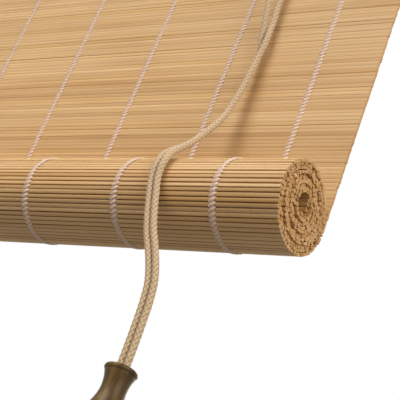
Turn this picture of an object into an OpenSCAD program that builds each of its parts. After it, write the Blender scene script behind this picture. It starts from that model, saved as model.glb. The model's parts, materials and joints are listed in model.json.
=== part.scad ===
// Bamboo roll up blind: a reed mat hangs from a head rail and is wound up from below in two cord slings.
// All sizes are in millimetres. X runs along the rail, Y points at the wall, Z is up.
// The origin lies midway between the two hanger holes, on the back of the hanger plates.

/* [Blind] */
// Width of the reed mat and of the head rail
blind_width = 800; // [700:10:1000]
// Hanging length from the underside of the rail to the axis of the roll
hang_length = 600; // [450:10:900]
// Outside radius of the rolled part of the mat
roll_radius = 20; // [17:0.5:24]
// Radius at which the first turn of the roll starts
core_radius = 5.4; // [4.6:0.2:8]
// Height of the core over the roll's axis, because the lower turns lie looser
core_rise = 2; // [0:0.2:2.4]

/* [Reed mat] */
// Height of one stick with its share of the gap
stick_pitch = 2; // [1.6:0.1:4]
// Thickness of one stick
stick_thickness = 1.4; // [1.2:0.1:2]
// Depth of the groove between two sticks
groove_depth = 0.35; // [0.2:0.05:0.45]
// Part of a stick's height that is flat
crest_share = 0.55; // [0.4:0.05:0.7]
// Gap between two turns of the roll
turn_gap = 0.4; // [0.4:0.05:0.5]
// Room between the roll's second turn and the hanging mat
mat_room = 0.35; // [0.3:0.05:0.5]
// Distance from the mat's side edge to the first warp thread
thread_inset = 30; // [20:1:45]
// Wanted distance between two warp threads
thread_spacing = 49; // [40:1:70]
// Width of one line of warp thread
thread_width = 1.8; // [1.2:0.1:3]
// Thickness of one line of warp thread
thread_thickness = 0.4; // [0.3:0.05:0.6]

/* [Head rail] */
// Height of the wooden head rail
rail_height = 30; // [26:1:45]
// Depth of the wooden head rail
rail_depth = 20; // [18:1:30]
// Height of the clamp strip in front of the mat
strip_height = 26; // [24:1:40]
// Thickness of the clamp strip
strip_thickness = 6; // [5:0.5:10]
// Chamfer along the edges of the rail and of the strip
edge_chamfer = 1.2; // [0.4:0.2:2]
// Number of screws in the clamp strip
clamp_screw_count = 6; // [4:2:8]

/* [Hangers] */
// Thickness of a hanger plate
plate_thickness = 2; // [1.6:0.2:3]
// Width of a hanger plate
plate_width = 18; // [14:1:24]
// Diameter of the hole that hangs on a wall screw
hanger_hole = 7; // [5:0.5:8]
// Distance of a hanger from the end of the rail
hanger_inset = 120; // [90:5:160]
// Height of the hanger holes over the top of the rail
hanger_rise = 12; // [10:1:20]

/* [Cords] */
// Diameter of one cord strand
cord_diameter = 2.8; // [2.4:0.1:3]
// Wanted distance of the lift cords from the middle, as a part of the width
lift_share = 0.185; // [0.16:0.005:0.22]
// Distance of the pull cord from the right edge of the mat
pull_inset = 61; // [58:1:66]
// Room between a cord and the roll that turns beside it
cord_room = 0.5; // [0.3:0.1:1]

/* [Pulleys and lock] */
// Radius of the cord's centre line round a sheave
sheave_radius = 6; // [6:0.5:8]
// Width of one sheave
sheave_width = 4.6; // [4.6:0.1:5.4]
// Thickness of the bracket steel
bracket_steel = 1.2; // [1:0.1:1.6]
// Radius of the sheave and cam pins
pin_radius = 1.5; // [1.2:0.1:1.8]
// Radial running clearance between a pin and what turns on it
running_fit = 0.06; // [0.03:0.01:0.1]
// Side room between a sheave and its bracket
side_room = 0.8; // [0.6:0.1:1.2]

/* [Tassel] */
// Length of the wooden tassel
tassel_length = 42; // [36:1:60]
// Greatest diameter of the tassel
tassel_diameter = 20; // [18:0.5:26]
// Diameter of the tassel's neck
neck_diameter = 9.8; // [9.4:0.2:12]
// Diameter of the flange on top of the tassel
flange_diameter = 13; // [12:0.5:16]
// Length of the pull cord from the roll's axis down to the tassel
tail_length = 86; // [80:1:160]

/* [Hidden] */
$fn = 48;
// Seating clearance of screws and fixed pins
seat_fit = 0.02;
screw_radius = 1.5;
head_radius = 2.75;
head_height = 1.2;
slot_width = 0.8;
cord_radius = cord_diameter / 2;
groove_radius = cord_radius + 0.3;
// Heights and depths of the head
half_width = blind_width / 2;
rail_top = -hanger_rise;
rail_bottom = rail_top - rail_height;
rail_back = -plate_thickness;
rail_front = rail_back - rail_depth;
mat_back = rail_front;
mat_front = mat_back - stick_thickness;
mat_top = rail_top - 2;
strip_top = mat_top;
strip_bottom = strip_top - strip_height;
strip_front = mat_front - strip_thickness;
hanger_x = half_width - hanger_inset;
hanger_screw_length = 0.75 * rail_depth;
plate_bottom = rail_top - 22;
clamp_end = 40;
clamp_screw_length = strip_thickness + stick_thickness + 0.55 * rail_depth;
hanger_screw_z = [rail_top - 6, rail_top - 17];
clamp_step = (blind_width - 2 * clamp_end) / (clamp_screw_count - 1);
clamp_x = [for (i = [0 : clamp_screw_count - 1]) clamp_end - half_width + i * clamp_step];
clamp_z = (strip_top + strip_bottom) / 2;
// The roll
roll_y = mat_back - roll_radius;
roll_z = rail_bottom - hang_length;
layer = stick_thickness;
wall = layer - turn_gap;
turn_step = 20;
turn_end = turn_step * floor(360 * (roll_radius - mat_room - core_radius) / layer / turn_step);
ring_sticks = round(2 * PI * (roll_radius - layer / 2) / stick_pitch);
ring_step = 360 / ring_sticks;
// The hanging mat
mat_height = mat_top - roll_z;
stick_count = round(mat_height / stick_pitch);
pitch = mat_height / stick_count;
slope = pitch * (1 - crest_share) / 2;
// Warp threads
bay_count = round((blind_width - 2 * thread_inset) / thread_spacing);
bay = (blind_width - 2 * thread_inset) / bay_count;
thread_x = [for (i = [0 : bay_count]) thread_inset - half_width + i * bay];
front_thread_end = roll_z + 0.6 * roll_radius;
band_first = 4;
band_last = 316;
band_parts = 18;
band_step = (band_last - band_first) / band_parts;
// Thread sinks this deep into the crests of the roll
thread_bite = 0.08;
// Lift cords
lift_bay = round((lift_share * blind_width + half_width - thread_inset) / bay - 0.5);
lift_x = thread_inset - half_width + (lift_bay + 0.5) * bay;
lap_radius = roll_radius + cord_room + cord_radius;
anchor_y = rail_back - 0.6 * rail_depth;
anchor_hole = cord_radius + 0.4;
knot_radius = cord_radius + 2;
knot_height = 5.4;
// Pulleys: two cord lanes in front of the strip
sheave_z = strip_top - 8 - sheave_radius;
lane_1 = strip_front - bracket_steel - side_room - sheave_width / 2;
lane_2 = lane_1 - sheave_width - side_room;
run_z = sheave_z + sheave_radius;
rim_radius = sheave_radius + cord_radius;
bridge_z = run_z + cord_radius + 1;
left_sheave_x = -lift_x + sheave_radius;
right_sheave_x = lift_x + sheave_radius;
single_front = lane_1 - sheave_width / 2 - side_room;
double_front = lane_2 - sheave_width / 2 - side_room;
bracket_half = rim_radius - 0.4;
foot_half = 17;
foot_screw_x = 13;
foot_screw_z = sheave_z - 4;
foot_bottom = sheave_z - 8;
screw_grip = strip_thickness - 0.6;
// Cord lock
pull_x = half_width - pull_inset;
roller_x = pull_x - sheave_radius;
cheek_x = pull_x + cord_radius + 0.3;
lock_left = roller_x - 20;
lock_right = cheek_x + bracket_steel;
lock_top = bridge_z + bracket_steel;
lock_bottom = sheave_z - sheave_radius - 20;
lock_screw_x = lock_left + 5;
lock_screw_z = [sheave_z + 0.5, sheave_z - 8];
cam_radius = 5.2;
cam_throw = 4;
cam_x = pull_x - cord_radius - 0.4 - cam_radius - cam_throw;
cam_z = sheave_z - sheave_radius - 11;
cam_width = 9.6;
cam_y = (lane_1 + lane_2 + cam_width) / 2;
// Pull cord: points relative to the lock's exit, the mat's back face and the roll's axis
size = roll_radius / 20;
seat_depth = 14;
strand_half = cord_radius + 0.1;
function lap(x, a) = [x, -roll_radius - lap_radius * cos(a), lap_radius * sin(a)];
front_y = -roll_radius - lap_radius;
drape_rel = [
  size * [0.3, -10.2, 60],
  size * [0.3, -12, 52.7],
  size * [0.3, -16, 43.9],
  size * [0.3, -20.8, 35.4],
  size * [0.3, -25.4, 28],
  size * [0.3, -30.3, 21.7],
  size * [0.3, -33.4, 18.1],
  lap(0.4, 42),
  lap(1.1, 30),
  lap(2, 18),
  lap(2.5, 7),
  [3.1, front_y, -1.3],
  [6.1, front_y, -11.5],
  [9, front_y, -20],
  [12.4, front_y, -28.3],
  [16.6, front_y, -36.3],
  [19.9, front_y, -43.5],
  [22.2, front_y, -50],
  [23.4, front_y, -57],
  [24.1, front_y, -66],
  [24.7, front_y, -tail_length + 6],
  [24.8, front_y, -tail_length - seat_depth]
];
// Turn of the two strands about each other, in degrees, from behind to side by side
drape_turn = [43, 39, 33, 29, 24, 13, 7, 4, 0, 0, 0, 0, 0, 0, 0, 0, 0, 0, 0, 0, 0, 0];
corner = [pull_x, mat_back, roll_z];
drape = [for (p = drape_rel) corner + p];
left_drape = beside(drape, -strand_half, drape_turn);
right_drape = beside(drape, strand_half, drape_turn);
// The two runs between the lock and the roll
left_end = left_drape[0];
right_end = right_drape[0];
// Direction in which a drape goes on upwards into its run
left_lead = left_drape[0] - left_drape[1];
right_lead = right_drape[0] - right_drape[1];
run_drop = sheave_z - left_end[2];
run_left = [
  [pull_x, lane_2, sheave_z],
  [pull_x, lane_2, lock_bottom],
  [pull_x - 2.4, (lane_2 + left_end[1]) / 2, left_end[2] + 0.5 * run_drop],
  corner + size * [-3.7, -8.8, 122],
  corner + size * [-2.6, -7.3, 111],
  corner + size * [-1.7, -5.5, 100],
  corner + size * [-0.7, -4.2, 90],
  corner + size * [-0.7, -5.4, 81.5],
  left_end + left_lead,
  left_end + 0.02 * left_lead
];
run_right = [
  [pull_x, lane_1, sheave_z],
  [pull_x, lane_1, lock_bottom],
  [pull_x + 0.6, (lane_1 + right_end[1]) / 2, right_end[2] + 0.5 * run_drop],
  corner + size * [0.1, -5.6, 122],
  corner + size * [0.8, -5.3, 111],
  corner + size * [1.5, -6.1, 100],
  corner + size * [1.2, -6.6, 90],
  corner + size * [1.3, -7.7, 81.5],
  right_end + right_lead,
  right_end + 0.02 * right_lead
];
// Tassel
tassel_x = drape[len(drape) - 1][0];
tassel_y = drape[len(drape) - 1][1];
tassel_top = roll_z - tail_length;
bore_radius = 2 * strand_half + 0.2;
cavity_radius = neck_diameter / 2 + 0.4;
rim_half = 1.7;
neck_depth = 8.6;
bulge_depth = 0.62 * tassel_length;
foot_radius = tassel_diameter * 0.4;

// Sweeping a round cord along a route
function unit(v) = v / norm(v);
function way(p, i) = unit(p[min(i + 1, len(p) - 1)] - p[max(i - 1, 0)]);
function side(t) = unit([1, 0, 0] - t * t[0]);
function beside(p, d, turn) = [
  for (i = [0 : len(p) - 1])
  let (t = way(p, i), u = side(t))
  p[i] + d * (cos(turn[i]) * u + sin(turn[i]) * cross(t, u))
];
function hoop(p, t, r, n) =
  let (u = side(t), v = cross(t, u))
  [for (k = [0 : n - 1]) p + r * (cos(360 * k / n) * u + sin(360 * k / n) * v)];

module cord(p, r = cord_radius, n = 8) {
  m = len(p);
  points = [for (i = [0 : m - 1]) each hoop(p[i], way(p, i), r, n)];
  skin = [
    for (i = [0 : m - 2], k = [0 : n - 1])
    each [
      [i * n + k, (i + 1) * n + k, (i + 1) * n + (k + 1) % n],
      [i * n + k, (i + 1) * n + (k + 1) % n, i * n + (k + 1) % n]
    ]
  ];
  first = [[for (k = [0 : n - 1]) k]];
  last = [[for (k = [n - 1 : -1 : 0]) (m - 1) * n + k]];
  polyhedron(points = points, faces = concat(first, skin, last), convexity = 6);
}

// Extrudes a Y-Z outline along X
module along_x(x0, length) {
  translate([x0, 0, 0]) rotate([90, 0, 90]) linear_extrude(length, convexity = 10) children();
}

// Rod along Y between two depths
module rod_y(x, z, r, front, back) {
  translate([x, front, z]) rotate([-90, 0, 0]) cylinder(r = r, h = back - front, $fn = 32);
}

// Pan head screw: the head stands out to the front, the shank points at the wall
module pan_screw(x, y, z, length) {
  translate([x, y, z]) difference() {
    union() {
      rotate([90, 0, 0]) cylinder(r = head_radius, h = head_height * 0.55);
      translate([0, -head_height * 0.55, 0]) rotate([90, 0, 0])
        cylinder(r1 = head_radius, r2 = head_radius * 0.7, h = head_height * 0.45);
      rotate([-90, 0, 0]) cylinder(r = screw_radius, h = length);
    }
    translate([-slot_width / 2, -head_height - 1, -head_radius - 1])
      cube([slot_width, 1.6, 2 * head_radius + 2]);
  }
}

// Countersunk screw with its flush head at the wall side
module flush_screw(x, y, z, length) {
  translate([x, y, z]) difference() {
    union() {
      rotate([90, 0, 0]) cylinder(r1 = head_radius, r2 = screw_radius, h = head_radius - screw_radius);
      rotate([90, 0, 0]) cylinder(r = screw_radius, h = length);
    }
    translate([-slot_width / 2, -0.6, -head_radius - 1]) cube([slot_width, 2, 2 * head_radius + 2]);
  }
}

// Chamfered bar outline between two depths and two heights
module bar(front, back, low, high, c) {
  polygon([
    [front + c, low], [back - c, low], [back, low + c], [back, high - c],
    [back - c, high], [front + c, high], [front, high - c], [front, low + c]
  ]);
}

module head_rail() {
  color([0.74, 0.56, 0.36]) difference() {
    along_x(-half_width, blind_width) bar(rail_front, rail_back, rail_bottom, rail_top, edge_chamfer);
    for (x = [-hanger_x, hanger_x], z = hanger_screw_z)
      rod_y(x, z, screw_radius + seat_fit, -hanger_screw_length - 0.5, rail_back + 1);
    for (x = clamp_x) rod_y(x, clamp_z, screw_radius + seat_fit, rail_front - 1, strip_front + clamp_screw_length + 0.5);
    for (x = [-lift_x, lift_x]) translate([x, anchor_y, rail_bottom - 1])
      cylinder(r = anchor_hole, h = rail_height + 2, $fn = 32);
  }
}

module clamp_strip() {
  color([0.77, 0.6, 0.4]) difference() {
    along_x(-half_width, blind_width) bar(strip_front, mat_front, strip_bottom, strip_top, edge_chamfer);
    for (x = clamp_x) rod_y(x, clamp_z, screw_radius + seat_fit, strip_front - 1, mat_front + 1);
    for (x = [left_sheave_x, right_sheave_x], s = [-1, 1])
      rod_y(x + s * foot_screw_x, foot_screw_z, screw_radius + seat_fit, strip_front - 1, mat_front + 1);
    for (z = lock_screw_z)
      rod_y(lock_screw_x, z, screw_radius + seat_fit, strip_front - 1, mat_front + 1);
  }
}

module clamp_screws() {
  color([0.72, 0.7, 0.66])
    for (x = clamp_x) pan_screw(x, strip_front, clamp_z, clamp_screw_length);
}

module hanger_plate(x) {
  color([0.7, 0.7, 0.7]) difference() {
    translate([x, 0, 0]) rotate([90, 0, 0]) linear_extrude(plate_thickness) union() {
      circle(d = plate_width);
      translate([-plate_width / 2, plate_bottom]) square([plate_width, -plate_bottom]);
    }
    rod_y(x, 0, hanger_hole / 2, -plate_thickness - 1, 1);
    for (z = hanger_screw_z) {
      rod_y(x, z, screw_radius + seat_fit, -plate_thickness - 1, 1);
      translate([x, -0.1, z]) rotate([90, 0, 0]) cylinder(
        r1 = head_radius + seat_fit, r2 = screw_radius + seat_fit, h = head_radius - screw_radius);
      rod_y(x, z, head_radius + seat_fit, -0.1, 1);
    }
  }
}

module left_hanger_plate() {
  hanger_plate(-hanger_x);
}

module right_hanger_plate() {
  hanger_plate(hanger_x);
}

module hanger_screws() {
  color([0.72, 0.7, 0.66])
    for (x = [-hanger_x, hanger_x], z = hanger_screw_z) flush_screw(x, -0.1, z, hanger_screw_length);
}

// Outline of the hanging sticks, one crest a stick on each face
function stick_z(i) = roll_z + i * pitch;
mat_outline = concat(
  [for (i = [0 : stick_count - 1]) each [
    [mat_back - groove_depth, stick_z(i)],
    [mat_back, stick_z(i) + slope],
    [mat_back, stick_z(i + 1) - slope]
  ]],
  [[mat_back - groove_depth, mat_top], [mat_front + groove_depth, mat_top]],
  [for (i = [stick_count - 1 : -1 : 0]) each [
    [mat_front, stick_z(i + 1) - slope],
    [mat_front, stick_z(i) + slope],
    [mat_front + groove_depth, stick_z(i)]
  ]]
);

module reed_mat() {
  color([0.8, 0.66, 0.46]) difference() {
    along_x(-half_width, blind_width) polygon(mat_outline);
    for (x = clamp_x) rod_y(x, clamp_z, screw_radius + 0.3, mat_front - 1, mat_back + 1);
  }
}

module mat_threads() {
  color([0.86, 0.8, 0.74]) for (x = thread_x) {
    translate([x - thread_width / 2, mat_back, roll_z])
      cube([thread_width, thread_thickness, hang_length]);
    translate([x - thread_width / 2, mat_front - thread_thickness, front_thread_end])
      cube([thread_width, thread_thickness, strip_bottom - front_thread_end]);
  }
}

// Winding of the roll: it starts at the back, passes under the axis and comes up at the front
function turn_radius(a) = roll_radius - layer * a / 360 - mat_room * min(1, a / 300);
function turn_point(a, r) = [roll_y + r * cos(a), roll_z - r * sin(a) + core_rise * a / turn_end];
roll_outline = concat(
  [for (i = [0 : ring_sticks - 1]) each [
    turn_point(i * ring_step, turn_radius(i * ring_step) - groove_depth),
    turn_point((i + 0.22) * ring_step, turn_radius(i * ring_step)),
    turn_point((i + 0.78) * ring_step, turn_radius(i * ring_step))
  ]],
  [for (a = [360 : turn_step : turn_end]) turn_point(a, turn_radius(a))],
  [for (a = [turn_end : -turn_step : 0]) turn_point(a, turn_radius(a) - wall)]
);

module mat_roll() {
  color([0.76, 0.61, 0.42]) along_x(-half_width, blind_width) polygon(roll_outline);
}

// A thread over the roll follows the outer turn
function band_radius(a) = turn_radius(a) / cos(band_step / 2) - thread_bite;
band_outline = concat(
  [for (i = [0 : band_parts]) let (a = band_first + i * band_step) turn_point(a, band_radius(a))],
  [for (i = [band_parts : -1 : 0]) let (a = band_first + i * band_step)
    turn_point(a, band_radius(a) + thread_thickness)]
);

module roll_threads() {
  color([0.86, 0.8, 0.74])
    for (x = thread_x) along_x(x - thread_width / 2, thread_width) polygon(band_outline);
}

// Steel bracket of a pulley: foot plate, bridge over the cords and front plate
module pulley_bracket(x, front) {
  color([0.68, 0.68, 0.68]) difference() {
    union() {
      translate([x - foot_half, strip_front - bracket_steel, foot_bottom])
        cube([2 * foot_half, bracket_steel, lock_top - foot_bottom]);
      translate([x - bracket_half, front - bracket_steel, bridge_z])
        cube([2 * bracket_half, strip_front - front + bracket_steel, bracket_steel]);
      translate([x - bracket_half, front - bracket_steel, foot_bottom])
        cube([2 * bracket_half, bracket_steel, lock_top - foot_bottom]);
    }
    rod_y(x, sheave_z, pin_radius + seat_fit, front - 5, strip_front + 1);
    for (s = [-1, 1])
      rod_y(x + s * foot_screw_x, foot_screw_z, screw_radius + seat_fit, strip_front - 5, strip_front + 1);
  }
}

module left_pulley_bracket() {
  pulley_bracket(left_sheave_x, single_front);
}

module right_pulley_bracket() {
  pulley_bracket(right_sheave_x, double_front);
}

module pulley_screws() {
  color([0.72, 0.7, 0.66]) for (x = [left_sheave_x, right_sheave_x], s = [-1, 1])
    pan_screw(x + s * foot_screw_x, strip_front - bracket_steel, foot_screw_z, screw_grip);
}

// Headed pin from the front plate to the strip
module headed_pin(x, z, front) {
  color([0.76, 0.74, 0.7]) union() {
    rod_y(x, z, pin_radius, front - bracket_steel, strip_front);
    rod_y(x, z, pin_radius + 0.9, front - bracket_steel - 0.8, front - bracket_steel);
  }
}

module left_pulley_pin() {
  headed_pin(left_sheave_x, sheave_z, single_front);
}

module right_pulley_pin() {
  headed_pin(right_sheave_x, sheave_z, double_front);
}

// Grooved wheel about the Y axis, one groove at each lane depth
module sheave(x, lanes, front, back) {
  color([0.66, 0.5, 0.24]) translate([x, 0, sheave_z]) rotate([90, 0, 0]) difference() {
    translate([0, 0, -back]) cylinder(r = rim_radius, h = back - front);
    translate([0, 0, -back - 1]) cylinder(r = pin_radius + running_fit, h = back - front + 2, $fn = 32);
    for (y = lanes) translate([0, 0, -y]) rotate_extrude() union() {
      translate([sheave_radius, 0]) circle(r = groove_radius, $fn = 32);
      translate([sheave_radius, -groove_radius]) square([cord_diameter, 2 * groove_radius]);
    }
  }
}

module left_sheave() {
  sheave(left_sheave_x, [lane_1], lane_1 - sheave_width / 2, lane_1 + sheave_width / 2);
}

module right_sheave_back() {
  sheave(right_sheave_x, [lane_1], lane_1 - sheave_width / 2, lane_1 + sheave_width / 2);
}

module right_sheave_front() {
  sheave(right_sheave_x, [lane_2], lane_2 - sheave_width / 2, lane_2 + sheave_width / 2);
}

module lock_housing() {
  color([0.6, 0.6, 0.6]) difference() {
    union() {
      translate([lock_left, strip_front - bracket_steel, lock_bottom])
        cube([lock_right - lock_left, bracket_steel, lock_top - lock_bottom]);
      translate([roller_x - bracket_half, double_front - bracket_steel, lock_bottom])
        cube([lock_right - roller_x + bracket_half, bracket_steel, lock_top - lock_bottom]);
      translate([roller_x - bracket_half, double_front - bracket_steel, bridge_z])
        cube([lock_right - roller_x + bracket_half, strip_front - double_front + bracket_steel, bracket_steel]);
      translate([cheek_x, double_front - bracket_steel, lock_bottom])
        cube([bracket_steel, strip_front - double_front + bracket_steel, sheave_z + 2 - lock_bottom]);
    }
    rod_y(roller_x, sheave_z, pin_radius + seat_fit, double_front - 5, strip_front + 1);
    rod_y(cam_x, cam_z, pin_radius + seat_fit, double_front - 5, strip_front + 1);
    for (z = lock_screw_z)
      rod_y(lock_screw_x, z, screw_radius + seat_fit, strip_front - 5, strip_front + 1);
  }
}

module lock_roller() {
  sheave(roller_x, [lane_1, lane_2], lane_2 - sheave_width / 2, lane_1 + sheave_width / 2);
}

module lock_roller_pin() {
  headed_pin(roller_x, sheave_z, double_front);
}

// Eccentric cam with a toothed edge that pinches the pull cord
module lock_cam() {
  color([0.66, 0.5, 0.24]) translate([cam_x, cam_y, cam_z]) rotate([90, 0, 0]) linear_extrude(cam_width)
    difference() {
      union() {
        translate([cam_throw, 0]) circle(r = cam_radius);
        circle(r = pin_radius + 2);
      }
      circle(r = pin_radius + running_fit, $fn = 32);
      for (a = [-60 : 15 : 60]) translate([cam_throw, 0]) rotate(a) translate([cam_radius, 0]) rotate(45)
        square(0.7, center = true);
    }
}

module lock_cam_pin() {
  headed_pin(cam_x, cam_z, double_front);
}

module lock_screws() {
  color([0.72, 0.7, 0.66])
    for (z = lock_screw_z) pan_screw(lock_screw_x, strip_front - bracket_steel, z, screw_grip);
}

// Knot on top of the rail, with the end of the cord that stands in the rail's hole
module cord_anchor(x) {
  color([0.83, 0.73, 0.58]) translate([x, anchor_y, rail_bottom]) union() {
    cylinder(r = cord_radius, h = rail_height + 1);
    translate([0, 0, rail_height]) rotate_extrude() polygon([
      [0, 0], [knot_radius * 0.8, 0], [knot_radius, knot_height * 0.25],
      [knot_radius * 0.84, knot_height * 0.5], [knot_radius, knot_height * 0.72],
      [knot_radius * 0.7, knot_height], [0, knot_height]
    ]);
  }
}

module left_cord_anchor() {
  cord_anchor(-lift_x);
}

module right_cord_anchor() {
  cord_anchor(lift_x);
}

module lift_cord_back(x) {
  color([0.83, 0.73, 0.58]) cord([
    [x, roll_y + lap_radius, roll_z],
    [x, roll_y + lap_radius, roll_z + 6],
    [x, anchor_y, rail_bottom - 6],
    [x, anchor_y, rail_bottom]
  ]);
}

module lift_cord_front(x, lane) {
  color([0.83, 0.73, 0.58]) cord([
    [x, roll_y - lap_radius, roll_z],
    [x, roll_y - lap_radius, roll_z + 6],
    [x, lane, sheave_z - 10],
    [x, lane, sheave_z]
  ]);
}

module sling(x) {
  color([0.83, 0.73, 0.58]) translate([x, roll_y, roll_z]) rotate([90, 0, 90]) rotate([0, 0, 180])
    rotate_extrude(angle = 180) translate([lap_radius, 0]) circle(r = cord_radius, $fn = 24);
}

// Cord over the first sheave, along the head and over the roller of the lock
module head_run(x, lane) {
  color([0.83, 0.73, 0.58]) union() {
    translate([x, lane, sheave_z]) rotate([90, 0, 0]) rotate([0, 0, 90])
      rotate_extrude(angle = 90) translate([sheave_radius, 0]) circle(r = cord_radius, $fn = 24);
    translate([x, lane, run_z]) rotate([0, 90, 0]) cylinder(r = cord_radius, h = roller_x - x, $fn = 24);
    translate([roller_x, lane, sheave_z]) rotate([90, 0, 0])
      rotate_extrude(angle = 90) translate([sheave_radius, 0]) circle(r = cord_radius, $fn = 24);
  }
}

module left_lift_cord_back() {
  lift_cord_back(-lift_x);
}

module left_sling() {
  sling(-lift_x);
}

module left_lift_cord_front() {
  lift_cord_front(-lift_x, lane_1);
}

module left_head_run() {
  head_run(left_sheave_x, lane_1);
}

module right_lift_cord_back() {
  lift_cord_back(lift_x);
}

module right_sling() {
  sling(lift_x);
}

module right_lift_cord_front() {
  lift_cord_front(lift_x, lane_2);
}

module right_head_run() {
  head_run(right_sheave_x, lane_2);
}

module left_pull_run() {
  color([0.83, 0.73, 0.58]) cord(run_left);
}

module right_pull_run() {
  color([0.83, 0.73, 0.58]) cord(run_right);
}

module left_pull_drape() {
  color([0.83, 0.73, 0.58]) cord(left_drape);
}

module right_pull_drape() {
  color([0.83, 0.73, 0.58]) cord(right_drape);
}

// Turned outline of the tassel: rounded flange, hollow neck, full belly and flat foot
tassel_outline = concat(
  [[bore_radius, 0]],
  [for (a = [80 : -20 : -60])
    [flange_diameter / 2 - rim_half + rim_half * cos(a), -rim_half + rim_half * sin(a)]],
  [for (i = [0 : 4]) let (t = i / 4)
    [neck_diameter / 2 + (flange_diameter / 2 - 1.2 - neck_diameter / 2) * pow(1 - t, 2),
      -rim_half * 2 - 0.2 - t * (neck_depth - rim_half * 2 - 0.2)]],
  [for (i = [1 : 7]) let (t = i / 7)
    [neck_diameter / 2 + (tassel_diameter - neck_diameter) / 4 * (1 - cos(180 * t)),
      -neck_depth - t * (bulge_depth - neck_depth)]],
  [for (i = [1 : 6]) let (t = i / 6)
    [foot_radius + (tassel_diameter / 2 - foot_radius) * sqrt(max(0, 1 - t * t)),
      -bulge_depth - t * (tassel_length - bulge_depth)]],
  [[cavity_radius, -tassel_length], [cavity_radius, -seat_depth], [bore_radius, -seat_depth]]
);

module tassel() {
  color([0.42, 0.28, 0.15]) translate([tassel_x, tassel_y, tassel_top]) rotate_extrude() polygon(tassel_outline);
}

module tassel_knot() {
  color([0.83, 0.73, 0.58]) translate([tassel_x, tassel_y, tassel_top - seat_depth]) rotate_extrude() polygon([
    [0, 0], [cavity_radius - 0.8, 0], [cavity_radius - 0.4, -2], [cavity_radius - 1.2, -4],
    [cavity_radius - 0.4, -6], [cavity_radius - 1.4, -8.5], [0, -8.5]
  ]);
}

head_rail();
clamp_strip();
clamp_screws();
left_hanger_plate();
right_hanger_plate();
hanger_screws();
reed_mat();
mat_threads();
mat_roll();
roll_threads();
left_pulley_bracket();
right_pulley_bracket();
pulley_screws();
left_pulley_pin();
right_pulley_pin();
left_sheave();
right_sheave_back();
right_sheave_front();
lock_housing();
lock_roller();
lock_roller_pin();
lock_cam();
lock_cam_pin();
lock_screws();
left_cord_anchor();
right_cord_anchor();
left_lift_cord_back();
left_sling();
left_lift_cord_front();
left_head_run();
right_lift_cord_back();
right_sling();
right_lift_cord_front();
right_head_run();
left_pull_run();
right_pull_run();
left_pull_drape();
right_pull_drape();
tassel();
tassel_knot();
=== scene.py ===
# %% [markdown]
# Bamboo roll up blind
#
# A roll up blind is a mat of thin bamboo sticks, held together by lines of warp thread. It hangs
# from a wooden rail, and two cords run in slings under its rolled foot: pulling them winds it up.
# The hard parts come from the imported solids. Here the sticks, threads, cords and the turned tassel
# get their real shape, and every part gets its finish. The lesson goes from the camera to the
# cords, then the mat, the roll and the small parts.

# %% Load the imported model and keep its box
import json
import math

import bpy
import numpy as np
from mathutils import Matrix, Vector


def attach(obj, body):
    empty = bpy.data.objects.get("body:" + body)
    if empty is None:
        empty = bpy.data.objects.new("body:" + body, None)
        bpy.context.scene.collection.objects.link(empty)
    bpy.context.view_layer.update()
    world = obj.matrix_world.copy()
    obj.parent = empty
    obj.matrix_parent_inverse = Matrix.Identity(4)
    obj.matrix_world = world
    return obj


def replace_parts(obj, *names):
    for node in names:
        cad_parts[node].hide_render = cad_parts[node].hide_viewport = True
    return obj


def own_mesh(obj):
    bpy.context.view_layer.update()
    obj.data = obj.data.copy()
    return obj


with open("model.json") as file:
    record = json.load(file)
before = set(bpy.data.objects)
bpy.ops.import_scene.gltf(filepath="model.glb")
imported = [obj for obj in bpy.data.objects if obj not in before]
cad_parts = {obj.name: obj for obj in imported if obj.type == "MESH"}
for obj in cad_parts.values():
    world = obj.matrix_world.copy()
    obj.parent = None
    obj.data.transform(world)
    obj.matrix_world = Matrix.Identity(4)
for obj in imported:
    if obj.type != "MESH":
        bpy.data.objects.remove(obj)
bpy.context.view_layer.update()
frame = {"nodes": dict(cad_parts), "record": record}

# %% [markdown]
# The camera comes first, because every likeness is judged through it. The photo looks up at the
# lower right corner from the right and from below. The three directions of the camera were fitted
# to the mat's edge, the thread lines and the oval of the roll's end. They are given as they are,
# since a camera that is only aimed at a point can't be rolled to match.

# %% Camera at the photo's angle
PHOTO_SIDE = 400
FOCAL_PIXELS = 1204.66
SENSOR = 36.0


def add_camera():
    data = bpy.data.cameras.new("photo_camera")
    data.sensor_width = SENSOR
    data.lens = FOCAL_PIXELS * SENSOR / PHOTO_SIDE
    data.clip_start, data.clip_end = 0.02, 50
    camera = bpy.data.objects.new("photo_camera", data)
    bpy.context.scene.collection.objects.link(camera)
    right = Vector((0.82214, 0.46412, 0.32966))
    up = Vector((-0.01783, -0.55780, 0.82978))
    back = Vector((0.56901, -0.68808, -0.45031))
    place = Vector((0.6337, -0.3846, -0.8643))
    turn = Matrix((right, up, back)).transposed()
    camera.matrix_world = Matrix.Translation(place) @ turn.to_4x4()
    bpy.context.scene.camera = camera
    print("camera at", [round(v, 3) for v in place])


add_camera()

# %% [markdown]
# The surround is white to look at and dim as a light. A white world at full strength would fill every
# shadow, so the white is mixed in for the camera and for reflections only, by what kind of ray asks. The
# same helper makes most of the floor's white.

# %% White surround
SURROUND_LEVEL = 0.29


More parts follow.
